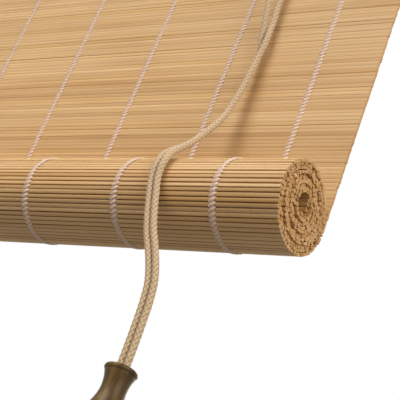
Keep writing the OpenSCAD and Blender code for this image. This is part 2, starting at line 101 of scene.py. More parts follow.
def white_to_camera(tree, lit, white, share, surface):
    """Mixes a share of plain white, which only the eye and reflections see, with the lit shader."""
    nodes, links = tree.nodes, tree.links
    path = nodes.new("ShaderNodeLightPath")
    seen = path.outputs["Is Camera Ray"]
    for ray in ("Is Glossy Ray", "Is Transmission Ray"):
        either = nodes.new("ShaderNodeMath")
        either.operation = "MAXIMUM"
        links.new(seen, either.inputs[0])
        links.new(path.outputs[ray], either.inputs[1])
        seen = either.outputs[0]
    part = nodes.new("ShaderNodeMath")
    part.operation = "MULTIPLY"
    part.inputs[1].default_value = share
    links.new(seen, part.inputs[0])
    mix = nodes.new("ShaderNodeMixShader")
    links.new(part.outputs[0], mix.inputs[0])
    links.new(lit, mix.inputs[1])
    links.new(white, mix.inputs[2])
    links.new(mix.outputs[0], surface)


def add_surround(level):
    scene = bpy.context.scene
    scene.view_settings.view_transform = "Standard"
    world = bpy.data.worlds.new("studio")
    scene.world = world
    world.use_nodes = True
    nodes = world.node_tree.nodes
    lit = nodes["Background"]
    lit.inputs["Color"].default_value = (1.0, 0.92, 0.85, 1)
    lit.inputs["Strength"].default_value = level
    white = nodes.new("ShaderNodeBackground")
    white.inputs["Color"].default_value = (1, 1, 1, 1)
    surface = nodes["World Output"].inputs["Surface"]
    white_to_camera(world.node_tree, lit.outputs[0], white.outputs[0], 1.0, surface)


add_surround(SURROUND_LEVEL)
print("world:", bpy.context.scene.world.name)

# %% [markdown]
# The light is a studio's: one large soft lamp high in front of the blind and a little to the left, a
# second on the right for the roll's end, and a weak one behind for the mat's back. A sun would be
# simpler, but its shadows are hard. The cord's shadow falls just to its right on the mat, as in the
# photo, and the underside of the roll goes dark. To keep it dark, the pale floor throws no light back
# up.

# %% Lamps and floor
LAMP_SIZE = 2.2
FLOOR_Z, FLOOR_SIDE, FLOOR_WHITE = -2.5, 14, 0.6


def add_lamp(name, place, target, watts, colour):
    data = bpy.data.lights.new(name, "AREA")
    data.shape = "DISK"
    data.size = LAMP_SIZE
    data.energy = watts
    data.color = colour
    lamp = bpy.data.objects.new(name, data)
    bpy.context.scene.collection.objects.link(lamp)
    lamp.location = place
    lamp.rotation_mode = "QUATERNION"
    lamp.rotation_quaternion = (Vector(target) - Vector(place)).to_track_quat("-Z", "Y")


def add_floor(height):
    bpy.ops.object.select_all(action="DESELECT")
    bpy.ops.mesh.primitive_plane_add(size=FLOOR_SIDE, location=(0, 0, height))
    floor = bpy.context.object
    floor.name = "studio_floor"
    paint = bpy.data.materials.new("pale_floor")
    paint.use_nodes = True
    nodes = paint.node_tree.nodes
    lit = nodes["Principled BSDF"]
    lit.inputs["Base Color"].default_value = (0.9, 0.9, 0.9, 1)
    lit.inputs["Roughness"].default_value = 0.9
    white = nodes.new("ShaderNodeEmission")
    surface = nodes["Material Output"].inputs["Surface"]
    white_to_camera(paint.node_tree, lit.outputs[0], white.outputs[0], FLOOR_WHITE, surface)
    floor.data.materials.append(paint)
    floor.visible_diffuse = False


add_lamp("key_lamp", (-0.3, -2.2, 1.6), (0.25, 0, -0.5), 77, (1, 0.97, 0.93))
add_lamp("fill_lamp", (2.6, -0.9, 0.5), (0.3, 0, -0.5), 54, (1, 0.98, 0.96))
add_lamp("back_lamp", (-0.4, 2.4, 0.9), (0, 0, -0.4), 34, (1, 0.98, 0.95))
add_floor(FLOOR_Z)

# %% [markdown]
# A finish is a small tree of nodes. It starts with nodes that give a number for each place on the
# piece: a noise that is stretched on the piece's own coordinates, or a number that was stored on its
# points. Pictures of wood could be wrapped on instead, but they show where they repeat, and noise
# doesn't.

# %% Nodes that give a number
def new_finish(name):
    finish = bpy.data.materials.new(name)
    finish.use_nodes = True
    tree = finish.node_tree
    return finish, tree.nodes, tree.links, tree.nodes["Principled BSDF"]


def stretched_noise(nodes, links, scale, detail):
    """A noise on the piece's own coordinates, stretched by three scales."""
    place = nodes.new("ShaderNodeTexCoord")
    mapping = nodes.new("ShaderNodeMapping")
    mapping.inputs["Scale"].default_value = scale
    noise = nodes.new("ShaderNodeTexNoise")
    noise.inputs["Scale"].default_value = 1.0
    noise.inputs["Detail"].default_value = detail
    links.new(place.outputs["Object"], mapping.inputs["Vector"])
    links.new(mapping.outputs["Vector"], noise.inputs["Vector"])
    return noise.outputs["Fac"]


def point_number(nodes, name):
    """A number that is stored on the mesh's own points."""
    number = nodes.new("ShaderNodeAttribute")
    number.attribute_name = name
    return number.outputs["Fac"]


# %% [markdown]
# A number becomes a look when it picks a colour or lifts the surface. A ramp picks from a few colours,
# a tint multiplies the colour under it, and a bump shades the surface as fine ridges would. Ridges could
# be modelled, but fibres are too fine for that. A dressed piece has one finish.

# %% Nodes that give a look
PLAIN = (1, 1, 1)
MIX_SHARE, MIX_UNDER, MIX_OVER, MIX_RESULT = 0, 6, 7, 2


def ramp(nodes, links, driver, stops):
    """A colour that the driver picks from stops of (place, colour)."""
    made = nodes.new("ShaderNodeValToRGB")
    while len(made.color_ramp.elements) < len(stops):
        made.color_ramp.elements.new(0.5)
    for element, (at, colour) in zip(made.color_ramp.elements, stops):
        element.position = at
        element.color = (*colour, 1)
    links.new(driver, made.inputs["Fac"])
    return made.outputs["Color"]


def tint_by(nodes, links, driver, stops, share, under):
    """Multiplies a colour by a ramp that the driver picks from, at a share of its strength."""
    mix = nodes.new("ShaderNodeMix")
    mix.data_type = "RGBA"
    mix.blend_type = "MULTIPLY"
    mix.inputs[MIX_SHARE].default_value = share
    links.new(under, mix.inputs[MIX_UNDER])
    links.new(ramp(nodes, links, driver, stops), mix.inputs[MIX_OVER])
    return mix.outputs[MIX_RESULT]


def bump(nodes, links, height, strength, depth, shader):
    made = nodes.new("ShaderNodeBump")
    made.inputs["Strength"].default_value = strength
    made.inputs["Distance"].default_value = depth
    links.new(height, made.inputs["Height"])
    links.new(made.outputs["Normal"], shader.inputs["Normal"])


def dress(piece, finish):
    piece.data.materials.clear()
    piece.data.materials.append(finish)
    return piece


print("a plain tint, which changes nothing:", PLAIN)

# %% [markdown]
# Bamboo is split along its fibres, so its colour runs in long streaks along each stick and jumps from
# one stick to the next. The jump comes from a number that is stored on the stick's own points, and the
# streaks from noises that are stretched along X: fine fibres, soft clouds and golden bands. The cut
# ends, which face along X, are a little redder.

# %% Bamboo finish
def facing_along_x(nodes, links):
    """1 where a face looks along X, as the cut ends do, and 0 where it looks across."""
    place = nodes.new("ShaderNodeTexCoord")
    split = nodes.new("ShaderNodeSeparateXYZ")
    size = nodes.new("ShaderNodeMath")
    size.operation = "ABSOLUTE"
    links.new(place.outputs["Normal"], split.inputs[0])
    links.new(split.outputs["X"], size.inputs[0])
    return size.outputs[0]


def bamboo_finish(name, stops):
    finish, nodes, links, shader = new_finish(name)
    fibre = stretched_noise(nodes, links, (9, 1500, 1500), 3)
    cloud = stretched_noise(nodes, links, (14, 90, 90), 2)
    gold = stretched_noise(nodes, links, (5, 210, 210), 2)
    ends = facing_along_x(nodes, links)
    colour = ramp(nodes, links, point_number(nodes, "stick_tone"), stops)
    for driver, share, tints in (
            (fibre, 0.6, [(0.3, (0.80, 0.74, 0.66)), (0.5, PLAIN), (0.72, (1.0, 1.0, 0.98))]),
            (cloud, 0.5, [(0.35, (0.86, 0.80, 0.70)), (0.6, PLAIN)]),
            (gold, 0.9, [(0.48, PLAIN), (0.66, (0.98, 0.93, 0.79))]),
            (ends, 1.0, [(0.55, PLAIN), (0.9, (0.93, 0.83, 0.70))])):
        colour = tint_by(nodes, links, driver, tints, share, colour)
    links.new(colour, shader.inputs["Base Color"])
    shader.inputs["Roughness"].default_value = 0.55
    shader.inputs["Specular IOR Level"].default_value = 0.35
    bump(nodes, links, fibre, 0.35, 0.00025, shader)
    return finish


bamboo = bamboo_finish("split_bamboo", [
    (0.0, (0.42, 0.24, 0.092)), (0.22, (0.575, 0.35, 0.151)), (0.5, (0.655, 0.426, 0.203)),
    (0.78, (0.715, 0.482, 0.244)), (1.0, (0.77, 0.568, 0.343))])
print("bamboo nodes:", len(bamboo.node_tree.nodes))

# %% [markdown]
# The cords come next, because they hang free and have a real length. Each cord's route is a short
# list of points: where it leaves the lock, how it nears the mat, how it lies over the roll and how it
# hangs to the tassel. A smooth line goes through the points, in even steps, so that the plait is even
# too. Two strands lie beside one middle line, and each is turned about it by an angle.

# %% Smooth line through a list of points
def distances(points):
    """How far along the line each point lies."""
    return np.concatenate([[0], np.cumsum(np.linalg.norm(np.diff(points, axis=0), axis=1))])


def smooth_line(points, step):
    """Evenly spaced points on a soft curve through the given ones."""
    points = np.array(points, float)
    knots = distances(points)
    slopes = np.gradient(points, knots, axis=0, edge_order=1)
    fine = []
    for i in range(len(points) - 1):
        gap = knots[i + 1] - knots[i]
        t = np.linspace(0, 1, max(4, int(gap / step) * 2), endpoint=False)[:, None]
        fine.append((2 * t**3 - 3 * t**2 + 1) * points[i] + (t**3 - 2 * t**2 + t) * gap * slopes[i]
                    + (3 * t**2 - 2 * t**3) * points[i + 1] + (t**3 - t**2) * gap * slopes[i + 1])
    fine = np.vstack(fine + [points[-1:]])
    along = distances(fine)
    wanted = np.linspace(0, along[-1], max(4, int(round(along[-1] / step)) + 1))
    return np.column_stack([np.interp(wanted, along, fine[:, k]) for k in range(3)])


def line_length(line):
    return float(np.linalg.norm(np.diff(line, axis=0), axis=1).sum())


def strand_beside(points, offset, turns):
    """The route of one of two strands: beside the middle line, turned about it by an angle."""
    points = np.array(points, float)
    ahead = np.vstack([points[1:], points[-1:]]) - np.vstack([points[:1], points[:-1]])
    ahead /= np.linalg.norm(ahead, axis=1)[:, None]
    side = np.array([1.0, 0, 0]) - ahead * ahead[:, :1]
    side /= np.linalg.norm(side, axis=1)[:, None]
    turn = np.radians(turns)[:, None]
    return points + offset * (np.cos(turn) * side + np.sin(turn) * np.cross(ahead, side))


trial = smooth_line([(0, 0, 0), (0, 0, -0.05), (0.01, 0, -0.10)], 0.001)
print("trial line:", len(trial), "points, length", round(line_length(trial), 4))

# %% [markdown]
# A round plait has strands that wind to the left and strands that wind to the right, each over one
# and under the next. Two waves that run round the cord in opposite directions give the two families,
# and the larger one shows. A bump in the finish could show the plait too, but then the cord's outline
# would stay straight. So the plait is a height, by which the tube's own points stand out.

# %% Height of the plait
CORD_R = 0.0014
HOLLOW, RAISE = 0.86, 0.22


def plait_height(around, along, strands=4, lay=0.0024):
    """From 0 in a hollow to 1 on a strand, by angle round the cord and length along it."""
    left = np.cos(strands * around + 2 * np.pi * along / lay)
    right = np.cos(strands * around - 2 * np.pi * along / lay)
    over = 0.8 * np.cos(strands * around)
    return np.clip((np.maximum(left + over, right - over) + 0.35) / 2.15, 0, 1)


print("cord radius (mm):", [round(1000 * CORD_R * k, 2) for k in (HOLLOW, HOLLOW + RAISE)])

# %% [markdown]
# The tube has a ring of points at each step of the line, and quads from ring to ring. A bevelled curve
# would make it with less code, but its points couldn't follow the plait. The rings are carried along
# without a twist. How far a point stands out is also kept as a number on the point, so the finish can
# paint shade into the hollows.

# %% Plaited tube along a line
def link_mesh(name, points, faces):
    """A new piece from points and faces, linked to the scene."""
    mesh = bpy.data.meshes.new(name)
    mesh.from_pydata(points.tolist(), [], faces)
    piece = bpy.data.objects.new(name, mesh)
    bpy.context.scene.collection.objects.link(piece)
    return piece


def store_number(piece, name, values):
    """Keeps one number on each point of the piece, for its finish to read."""
    numbers = piece.data.attributes.new(name, "FLOAT", "POINT")
    numbers.data.foreach_set("value", np.asarray(values, np.float32))


def carried_sides(ahead):
    """A direction across the line at each point, carried along it without twisting."""
    carried = np.array([1.0, 0, 0]) if abs(ahead[0, 0]) < 0.9 else np.array([0, 1.0, 0])
    side = np.zeros_like(ahead)
    for i, direction in enumerate(ahead):
        carried = carried - direction * np.dot(carried, direction)
        carried = carried / np.linalg.norm(carried)
        side[i] = carried
    return side


def tube_faces(count, sides):
    """Quads between each ring and the next, and a cap at either end."""
    faces = []
    for i in range(count - 1):
        for k in range(sides):
            a, b = i * sides + k, i * sides + (k + 1) % sides
            faces.append((a, b, b + sides, a + sides))
    return faces + [tuple(reversed(range(sides))), tuple(range((count - 1) * sides, count * sides))]


def add_plaited_cord(name, line, sides, radius=CORD_R):
    ahead = np.gradient(line, axis=0)
    ahead /= np.linalg.norm(ahead, axis=1)[:, None]
    side = carried_sides(ahead)
    other = np.cross(ahead, side)
    around = np.linspace(0, 2 * np.pi, sides, endpoint=False)
    height = plait_height(around[None, :], distances(line)[:, None])
    reach = radius * (HOLLOW + RAISE * height)
    ring = np.cos(around)[None, :, None] * side[:, None] + np.sin(around)[None, :, None] * other[:, None]
    points = (line[:, None] + reach[..., None] * ring).reshape(-1, 3)
    piece = link_mesh(name, points, tube_faces(len(line), sides))
    # The plait height is stored for the finish, which paints shade into the hollows with it.
    store_number(piece, "plait", height.ravel())
    piece.data.polygons.foreach_set("use_smooth", [True] * len(piece.data.polygons))
    return piece


print("faces of a tube with 10 rings of 20 points:", len(tube_faces(10, 20)))

# %% [markdown]
# The cotton of the cord is a soft pale beige. The hollows of the plait are painted darker, as painted
# shade where the strands shade each other, and a fine noise stands for the fibres. Loose fibres could
# be made as hair, but at this size they only give the cord a pale rim, and a little sheen does that.

# %% Cord finish
def cord_finish(name, hollow, crest):
    finish, nodes, links, shader = new_finish(name)
    between = tuple(0.5 * (a + b) for a, b in zip(hollow, crest))
    # Painted shade: the low points of the plait take the darker first colour, as shade in the hollows.
    plait = point_number(nodes, "plait")
    colour = ramp(nodes, links, plait, [(0.0, hollow), (0.45, between), (1.0, crest)])
    fuzz = stretched_noise(nodes, links, (2600, 2600, 2600), 2)
    mixed = tint_by(nodes, links, fuzz, [(0.3, (0.84, 0.80, 0.74)), (0.65, PLAIN)], 0.7, colour)
    links.new(mixed, shader.inputs["Base Color"])
    shader.inputs["Roughness"].default_value = 0.85
    shader.inputs["Specular IOR Level"].default_value = 0.2
    shader.inputs["Sheen Weight"].default_value = 0.25
    shader.inputs["Sheen Roughness"].default_value = 0.5
    bump(nodes, links, fuzz, 0.4, 0.0002, shader)
    return finish


# The first colour is painted shade for the hollows; the second is the cotton's own colour.
cotton = cord_finish("cotton_cord", (0.35, 0.225, 0.118), (0.735, 0.572, 0.376))
print("cotton nodes:", len(cotton.node_tree.nodes))

# %% [markdown]
# The pull cord is two strands. They leave the lock one behind the other, come down in front of the
# mat, lie over the roll side by side and end in the tassel. A cloth or rope simulation could let them
# fall, but the photo shows how they lie, so their points are listed one by one. All points are counted
# from the corner where the mat runs onto the roll.

# %% Route of the pull cord
MAT_BACK = -0.022
ROLL_Y, ROLL_Z, ROLL_R = -0.042, -0.642, 0.020
PULL_X, SHEAVE_Z, LANE_1, LANE_2 = 0.339, -0.028, -0.0337, -0.0391
LOCK_DROP = 0.026
LAP_R = 0.0219
TAIL = 0.086
SEAT = 0.014
STRAND_HALF = 0.0015
corner = np.array([PULL_X, MAT_BACK, ROLL_Z])
front = -ROLL_R - LAP_R


def lap(x, degrees):
    """A point on the roll's round front, at an angle over the axis."""
    turn = math.radians(degrees)
    return [x, -ROLL_R - LAP_R * math.cos(turn), LAP_R * math.sin(turn)]


def run_route(lane, drift, near_mat, drape):
    """From the lock down to the drape: straight out, slowly towards the mat, and into the drape."""
    halfway = [PULL_X + drift, (lane + drape[0][1]) / 2, drape[0][2] + half_drop]
    return np.vstack([
        [[PULL_X, lane, SHEAVE_Z], [PULL_X, lane, SHEAVE_Z - LOCK_DROP], halfway],
        corner + np.array(near_mat),
        [2 * drape[0] - drape[1], drape[0]]])


drape_points = corner + np.array([
    [0.0003, -0.0102, 0.0600], [0.0003, -0.0120, 0.0527], [0.0003, -0.0160, 0.0439],
    [0.0003, -0.0208, 0.0354], [0.0003, -0.0254, 0.0280], [0.0003, -0.0303, 0.0217],
    [0.0003, -0.0334, 0.0181], lap(0.0004, 42), lap(0.0011, 30), lap(0.002, 18), lap(0.0025, 7),
    [0.0031, front, -0.0013], [0.0061, front, -0.0115], [0.0090, front, -0.0200],
    [0.0124, front, -0.0283], [0.0166, front, -0.0363], [0.0199, front, -0.0435],
    [0.0222, front, -0.0500], [0.0234, front, -0.0570], [0.0241, front, -0.0660],
    [0.0247, front, -TAIL + 0.006], [0.0248, front, -TAIL - SEAT]])
drape_turns = [43, 39, 33, 29, 24, 13, 7, 4] + [0] * 14
left_drape = strand_beside(drape_points, -STRAND_HALF, drape_turns)
right_drape = strand_beside(drape_points, STRAND_HALF, drape_turns)
half_drop = 0.5 * (SHEAVE_Z - left_drape[0][2])
left_run = run_route(LANE_2, -0.0024, [
    [-0.0037, -0.0088, 0.1220], [-0.0026, -0.0073, 0.1110], [-0.0017, -0.0055, 0.1000],
    [-0.0007, -0.0042, 0.0900], [-0.0007, -0.0054, 0.0815]], left_drape)
right_run = run_route(LANE_1, 0.0006, [
    [0.0001, -0.0056, 0.1220], [0.0008, -0.0053, 0.1110], [0.0015, -0.0061, 0.1000],
    [0.0012, -0.0066, 0.0900], [0.0013, -0.0077, 0.0815]], right_drape)
print("points of a run and a drape:", len(left_run), len(left_drape))

# %% [markdown]
# Each strand becomes three pieces, because they move in three ways. The lead inside the lock stays as
# it is. The run below it gets shorter when the blind goes up. The drape over the roll goes up with the
# slings. One long piece would be simpler, but it couldn't do all three.

# %% Pull cords
LOCK_FOOT = -0.0545
PULL_STEP, PULL_SIDES = 0.00045, 20
pull_pieces = {}
for side, run, drape in (("left", left_run, left_drape), ("right", right_run, right_drape)):
    whole = smooth_line(run, PULL_STEP)
    cut = int(np.argmax(whole[:, 2] < LOCK_FOOT))
    for part, line, node in (("lead", whole[:cut + 1], "run"), ("run", whole[cut:], "run"),
                             ("drape", smooth_line(drape, PULL_STEP), "drape")):
        piece = dress(add_plaited_cord(f"{side}_plaited_{part}", line, PULL_SIDES), cotton)
        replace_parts(piece, f"{side}_pull_{node}")
        pull_pieces[side, part] = (piece, line)
        print(piece.name, "length", round(line_length(line), 4))

# %% [markdown]
# The lift cords carry the roll: each is tied off in the rail, goes down behind the mat, under the roll
# in a sling, up in front and over the sheaves to the lock. They are the same plait, with fewer points,
# because there is much more of it and it is seen from further away.

# %% Lift cords
LIFT_X, SHEAVE_R, ROLLER_X = 0.148, 0.006, 0.333
HOLE_Y, RAIL_BOTTOM = -0.014, -0.042
LEAD = 0.006
LIFT_STEP, LIFT_SIDES = 0.0010, 12


def arc(centre, radius, first, last, steps, plane):
    """Points on a round bend in the plane of two axes."""
    points = np.tile(np.array(centre, float), (steps + 1, 1))
    turns = np.radians(np.linspace(first, last, steps + 1))
    points[:, plane[0]] += radius * np.cos(turns)
    points[:, plane[1]] += radius * np.sin(turns)
    return points


def lift_routes(x, lane):
    back_y, front_y, sheave_x = ROLL_Y + LAP_R, ROLL_Y - LAP_R, x + SHEAVE_R
    return {
        "lift_cord_back": [[x, HOLE_Y, RAIL_BOTTOM], [x, HOLE_Y, RAIL_BOTTOM - LEAD],
                           [x, back_y, ROLL_Z + LEAD], [x, back_y, ROLL_Z]],
        "sling": arc((x, ROLL_Y, ROLL_Z), LAP_R, 0, -180, 18, (1, 2)),
        "lift_cord_front": [[x, lane, SHEAVE_Z], [x, lane, SHEAVE_Z - 0.010],
                            [x, front_y, ROLL_Z + LEAD], [x, front_y, ROLL_Z]],
        "head_run": np.vstack([
            arc((sheave_x, lane, SHEAVE_Z), SHEAVE_R, 180, 90, 6, (0, 2)),
            [[sheave_x + (ROLLER_X - sheave_x) * t, lane, SHEAVE_Z + SHEAVE_R] for t in (0.04, 0.5, 0.96)],
            arc((ROLLER_X, lane, SHEAVE_Z), SHEAVE_R, 90, 0, 6, (0, 2))]),
    }


lift_pieces = {}
for side, x, lane in (("left", -LIFT_X, LANE_1), ("right", LIFT_X, LANE_2)):
    for part, points in lift_routes(x, lane).items():
        line = smooth_line(points, LIFT_STEP)
        piece = dress(add_plaited_cord(f"{side}_plaited_{part}", line, LIFT_SIDES), cotton)
        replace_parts(piece, f"{side}_{part}")
        lift_pieces[side, part] = piece
        print(piece.name, "length", round(line_length(line), 4))

# %% [markdown]
# A knot is a cord that crosses itself three times. It could be a lump, but the loops of a knot catch the
# light. The trefoil, a closed curve of three lobes, has those crossings, so the knots on the rail and
# in the tassel follow it, with a loose end left over.

# %% Knots
KNOT_STEP, KNOT_SIDES = 0.0007, 12


def knot_route(centre, width, height, foot, tail):
    turns = np.linspace(0.35, 2 * np.pi - 0.35, 26)
    lobes = np.column_stack([np.sin(turns) + 2 * np.sin(2 * turns), np.cos(turns) - 2 * np.cos(2 * turns),
                             -np.sin(3 * turns)]) * [width / 3, width / 3, height]
    return np.array(centre) + np.vstack([foot, lobes, tail])


def add_knot(name, route, radius):
    return dress(add_plaited_cord(name, smooth_line(route, KNOT_STEP), KNOT_SIDES, radius), cotton)


for side, x in (("left", -LIFT_X), ("right", LIFT_X)):
    route = knot_route((x, HOLE_Y, -0.0088), 0.0022, 0.0013,
                       [[0, 0, -0.0332], [0, 0, -0.012], [0, 0, -0.004]],
                       [[0.0009, -0.0012, 0.0024], [0.0016, -0.0016, 0.0046]])
    knot = add_knot(f"{side}_rail_knot", route, 0.00125)
    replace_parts(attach(knot, "head"), f"{side}_cord_anchor")
    print(knot.name, "faces:", len(knot.data.polygons))
tassel_seat = drape_points[-1]
route = knot_route(tassel_seat - [0, 0, 0.0042], 0.0031, 0.0021, [[0, 0, 0.0042], [0, -0.0006, 0.003]],
                   [[0.0012, 0, -0.0035], [0.0018, 0.0004, -0.0080]])
tassel_tie = add_knot("tassel_tie", route, CORD_R)
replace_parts(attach(tassel_tie, "slings"), "tassel_knot")
print(tassel_tie.name, "faces:", len(tassel_tie.data.polygons))

# %% [markdown]
# One stick is modelled, and then copied. A plate with a striped bump would pass for a mat from far away,
# but the edge of the mat and the end of the roll show every stick. A split bamboo stick is a flat rod
# with worn edges: a cylinder of eight sides is laid along X, its sides are flattened, and its long edges
# are cut into six lengths so that a copy can be a little crooked. The mat gets a flat stick, and the
# roll, where each stick shows its own shading, a rounder one. Hundreds of copies follow, so a stick has
# few faces.

# %% One stick
STICK_T, PITCH, WIDTH = 0.0014, 0.0020, 0.800
STICK_CUTS = 5
FLAT = [(0.50, 0.45), (0.41, 0.499), (-0.41, 0.499), (-0.50, 0.45)]
ROUND = [(0.50, 0.27), (0.29, 0.485), (-0.29, 0.485), (-0.50, 0.27)]


def add_stick(name, section):
    """A stick along X. The section gives the upper four corners, in shares of thickness and pitch."""
    bpy.ops.object.select_all(action="DESELECT")
    bpy.ops.mesh.primitive_cylinder_add(vertices=8, radius=0.001, depth=WIDTH, rotation=(0, math.pi / 2, 0))
    stick = bpy.context.object
    stick.name = name
    bpy.ops.object.transform_apply(location=False, rotation=True, scale=False)
    mesh = stick.data
    for vertex in mesh.vertices:
        turn = math.atan2(vertex.co.z, vertex.co.y)
        slot = int(math.floor(math.degrees(turn) / 45)) % 8
        y, z = section[slot] if slot < 4 else (-section[slot - 4][0], -section[slot - 4][1])
        vertex.co.y, vertex.co.z = y * STICK_T, z * PITCH
    bpy.ops.object.mode_set(mode="EDIT")
    bpy.ops.mesh.select_mode(type="EDGE")
    bpy.ops.mesh.select_all(action="DESELECT")
    bpy.ops.object.mode_set(mode="OBJECT")
    for edge in mesh.edges:
        a, b = (mesh.vertices[k].co for k in edge.vertices)
        edge.select = abs(a.x - b.x) > 0.5 * WIDTH
    bpy.ops.object.mode_set(mode="EDIT")
    bpy.ops.mesh.subdivide(number_cuts=STICK_CUTS)
    bpy.ops.object.mode_set(mode="OBJECT")
    print(name, "faces:", len(mesh.polygons))
    return stick


stick = add_stick("flat_stick", FLAT)
round_stick = add_stick("round_stick", ROUND)

# %% [markdown]
# Every copy gets its own mesh points, with small faults that real sticks have: a little thicker or
# thinner, longer or shorter, bowed, turned, and with its own tone. An array modifier would repeat one
# stick without any faults. The faults come from a seeded generator, so the blind is the same each time.

# %% Copies of the stick
LENGTH_FAULT = 0.00008
BOW_WAVES = 4


def select_only(piece):
    bpy.ops.object.select_all(action="DESELECT")
    piece.select_set(True)
    bpy.context.view_layer.objects.active = piece


def copies_of(name, stick, places, seed, crooked, ragged):
    """Places are (y, z, turn, thickness, width, end shift, recess, tone) for each copy."""
    chance = np.random.default_rng(seed)
    points = np.array([v.co for v in stick.data.vertices])
    faces = [tuple(p.vertices) for p in stick.data.polygons]
    share = points[:, 0] / (WIDTH / 2)
    ends = np.abs(share) > 0.99
    all_points, all_faces, tones = [], [], []
    for n, (y, z, turn, thick, wide, shift, recess, tone) in enumerate(places):
        made = points.copy()
        made[:, 1] *= thick * chance.uniform(0.95, 1.03)
        made[:, 2] *= wide * chance.uniform(0.97, 1.02)
        bow = chance.normal(0, crooked, (BOW_WAVES, 2))
        for wave in range(BOW_WAVES):
            curve = np.cos(share * (wave + 1) * 1.7 + bow[wave, 0] * 9000)
            made[:, 1] += 0.6 * bow[wave, 0] * curve
            made[:, 2] += bow[wave, 1] * curve
        right_fault, left_fault = chance.normal(0, LENGTH_FAULT), chance.normal(0, LENGTH_FAULT)
        made[ends, 0] += np.where(share[ends] > 0, right_fault, left_fault) + shift
        made[ends, 0] += chance.normal(0, ragged, ends.sum()) - recess * np.sign(share[ends])
        cosine, sine = math.cos(turn), math.sin(turn)
        across, up = made[:, 1].copy(), made[:, 2].copy()
        made[:, 1] = y + across * cosine - up * sine
        made[:, 2] = z + across * sine + up * cosine
        all_points.append(made)
        all_faces += [tuple(k + n * len(points) for k in face) for face in faces]
        tones += [tone] * len(points)
    piece = link_mesh(name, np.vstack(all_points), all_faces)
    store_number(piece, "stick_tone", tones)
    select_only(piece)
    bpy.ops.object.shade_smooth_by_angle(angle=math.radians(50))
    print(name, "copies:", len(places))
    return piece


print("points of one stick:", len(stick.data.vertices))

# %% [markdown]
# Sticks that were split from one cane lie near each other in the mat, so the tones wander slowly, and
# now and then a darker stick stands out. A free choice for each stick would look like noise, so the
# chosen tones are smoothed by a running mean of nine first.

# %% Tones of the sticks
def stick_tones(count, seed):
    """Tones that wander slowly, with some sticks that stand out."""
    chance = np.random.default_rng(seed)
    drift = np.convolve(chance.normal(0, 1, count + 8), np.ones(9) / 9, "valid")
    tone = 0.52 + 0.2 * drift + chance.normal(0, 0.08, count)
    odd = chance.random(count) < 0.06
    tone[odd] -= chance.uniform(0.12, 0.38, odd.sum())
    return np.clip(tone, 0, 1)


print("first tones:", [round(t, 2) for t in stick_tones(5, 11)])

# %% [markdown]
# The mat: 314 sticks, one above the other. Those under the clamp strip stay with the head. The others
# hang, and when the roll climbs the hanging part gets shorter. That is why the mat is two pieces.

# %% Hanging mat
MAT_Y = MAT_BACK - STICK_T / 2
MAT_TOP = -0.014
stick_count = int(round((MAT_TOP - ROLL_Z) / PITCH))
tones = stick_tones(stick_count, 11)
chance = np.random.default_rng(5)
mat_places = [(MAT_Y + chance.normal(0, 0.00005), ROLL_Z + (i + 0.5) * PITCH + chance.normal(0, 0.00003),
               chance.normal(0, 0.03), 1.0, 1.0, 0.0, 0.0, tones[i]) for i in range(stick_count)]
held = [p for p in mat_places if p[1] > RAIL_BOTTOM]
hanging = [p for p in mat_places if p[1] <= RAIL_BOTTOM]
clamped_sticks = dress(copies_of("clamped_sticks", stick, held, 21, 0.00002, 0.00003), bamboo)
hanging_sticks = dress(copies_of("hanging_sticks", stick, hanging, 22, 0.00003, 0.00003), bamboo)
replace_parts(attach(clamped_sticks, "head"), "reed_mat")
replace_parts(hanging_sticks, "reed_mat")

# %% [markdown]
# The roll is the same mat wound up. Its sticks lie on a spiral: the first turn is the one that is
# seen, and the others show at the two ends. Bending a flat mat with a modifier would keep it perfectly
# round, so the place of each stick is worked out instead. The turns aren't quite round: the core sits a
# little high, at the top a gap stays open after the third turn, and the innermost turn ends deeper in
# the hole.

# %% Rolled mat
ROLL_START, OUTER_TURN, ROLL_END = 3.0, 352, 4030
CORE_START, CORE_END, CORE_DEPTH = 3480, 3720, 0.0045
SETTLE = 0.00035


def soft_step(value, low, high):
    t = min(1.0, max(0.0, (value - low) / (high - low)))
    return t * t * (3 - 2 * t)


def turn_place(degrees, thick):
    """The middle of a stick on the spiral, at an angle that grows from the mat's foot inwards."""
    turn, angle = degrees / 360, math.radians(degrees)
    upper = max(0.0, -math.sin(angle))
    radius = ROLL_R - STICK_T * turn - SETTLE * min(1, degrees / 300) - thick * STICK_T / 2
    slack = soft_step(turn, 2.55, 3.0) * (1 - soft_step(turn, 3.3, 10.5))
    radius -= 0.0006 * slack * upper ** 2
    radius += 0.0007 * soft_step(turn, 7.5, 10.0) * upper ** 6
    rise = 0.0007 * soft_step(turn, 0.8, 11.0)
    return ROLL_Y + radius * math.cos(angle), ROLL_Z - radius * math.sin(angle) + rise, radius


def roll_places():
    chance = np.random.default_rng(8)
    places, degrees = [], ROLL_START
    tones = np.clip(0.57 + 1.5 * (stick_tones(520, 12) - 0.52), 0, 1)
    while degrees < ROLL_END:
        outer = degrees < OUTER_TURN
        thick, wide, rough = (1.0, chance.uniform(0.88, 0.99), 0.00007) if outer else (0.93, 0.97, 0.00028)
        y, z, radius = turn_place(degrees, thick + (chance.uniform(0, 0.12) if outer else 0.0))
        ahead = turn_place(degrees + 1, thick)
        lean = math.atan2(ahead[0] - y, ahead[1] - z)
        wander = 0.0005 * math.sin(2.1 * (degrees / 360) + 0.6) * soft_step(degrees, 340, 700)
        shift = wander + chance.normal(0, rough)
        recess = CORE_DEPTH * soft_step(degrees, CORE_START, CORE_END)
        turn = -lean + math.pi + chance.normal(0, 0.07)
        places.append((y, z, turn, thick, wide, shift, recess, tones[len(places)]))
        degrees += math.degrees(PITCH * chance.uniform(0.97, 1.03) / (radius + 0.0002))
    return places


rolled_sticks = copies_of("rolled_sticks", round_stick, roll_places(), 23, 0.00006, 0.00016)
dress(rolled_sticks, bamboo)
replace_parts(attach(rolled_sticks, "roll"), "mat_roll")
for used in (stick, round_stick):
    bpy.data.objects.remove(used)

